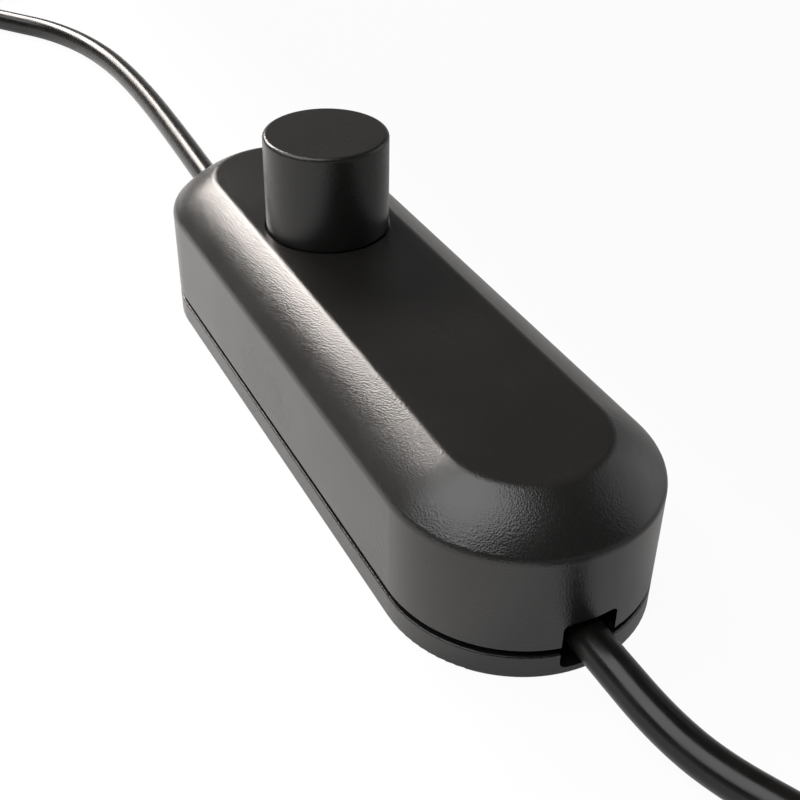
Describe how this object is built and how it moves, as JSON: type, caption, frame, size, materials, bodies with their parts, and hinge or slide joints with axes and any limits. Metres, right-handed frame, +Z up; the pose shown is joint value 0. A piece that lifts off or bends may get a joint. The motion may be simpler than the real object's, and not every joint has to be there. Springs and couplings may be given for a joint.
{
  "type": "in-line lamp dimmer",
  "caption": "Slim rounded dimmer for a lamp lead, with a chamfered two-part case, a round push-and-turn knob, a plug at one end and bare wires at the other.",
  "frame": {"origin": "centre of the case's underside, on the surface that it lies on", "axes": "+X along the case towards the knob's end, +Y across it, +Z up"},
  "size_m": [0.5445, 0.0496, 0.0433],
  "materials": {
    "case_plastic": "fine spark-eroded grain, black",
    "knob_plastic": "fine grain, black",
    "screw_steel": "zinc plated",
    "encoder_metal": "nickel plated",
    "inner_plastic": "moulded, dark grey",
    "spring_steel": "bright",
    "board_laminate": "green solder resist",
    "module_resin": "dull moulding resin",
    "radio_board": "blue solder resist",
    "shield_tin": "tinned sheet",
    "header_gold": "gold flashed",
    "terminal_green": "moulded, green",
    "fuse_black": "moulded",
    "varistor_blue": "dipped coating",
    "film_grey": "moulded box",
    "can_sleeve": "shrunk sleeve on an aluminium can",
    "ferrite": "sintered, dull",
    "copper_wire": "enamelled copper",
    "heat_aluminium": "milled",
    "cord_pvc": "soft black sheath, half gloss",
    "core_blue": "wire insulation",
    "tie_black": "woven strap",
    "plug_pvc": "moulded, half gloss",
    "pin_nickel": "nickel-plated brass",
    "ferrule_sleeve": "tinned sleeve with a plastic collar"
  },
  "bodies": {
    "housing": {"upper_housing": "case_plastic", "lower_cover": "case_plastic", "case_screws": "screw_steel", "encoder_body": "inner_plastic", "encoder_bushing": "encoder_metal", "encoder_washer": "encoder_metal", "encoder_nut": "encoder_metal", "switch_dome": "spring_steel", "control_board": "board_laminate", "board_spacers": "inner_plastic", "header_pins": "header_gold", "header_strip": "inner_plastic", "radio_module": "radio_board", "radio_shield": "shield_tin", "power_board": "board_laminate", "board_screws": "screw_steel", "supply_terminal": "terminal_green", "lamp_terminal": "terminal_green", "terminal_screws": "screw_steel", "fuse": "fuse_black", "varistor": "varistor_blue", "film_capacitor": "film_grey", "electrolytic_capacitor": "can_sleeve", "choke_drum": "ferrite", "choke_winding": "copper_wire", "power_transistor": "module_resin", "heat_spreader": "heat_aluminium", "power_module": "module_resin", "supply_cord_clamp": "inner_plastic", "lamp_cord_clamp": "inner_plastic", "clamp_screws": "screw_steel", "supply_cores": "core_blue", "lamp_cores": "core_blue", "supply_cord": "cord_pvc", "supply_cord_hank": "cord_pvc", "supply_cord_tail": "cord_pvc", "supply_cord_tie": "tie_black", "plug_body": "plug_pvc", "plug_pins": "pin_nickel", "pin_sleeves": "plug_pvc", "lamp_cord": "cord_pvc", "lamp_cord_hank": "cord_pvc", "lamp_cord_tie": "tie_black", "lamp_wires": "core_blue", "wire_ferrules": "ferrule_sleeve"},
    "press": {"switch_plunger": "inner_plastic"},
    "dial": {"knob": "knob_plastic", "encoder_shaft": "encoder_metal"}
  },
  "joints": [
    {"name": "knob_press", "type": "slide", "parent": "housing", "child": "press", "axis": [0, 0, -1], "range_m": [0, 0.0005], "stiffness_N_per_m": 2000, "springref_m": -0.0008, "deforming": ["switch_dome"]},
    {"name": "knob_turn", "type": "hinge", "parent": "press", "child": "dial", "pos_m": [0.0215, 0, 0.03], "axis": [0, 0, 1], "continuous": true}
  ]
}
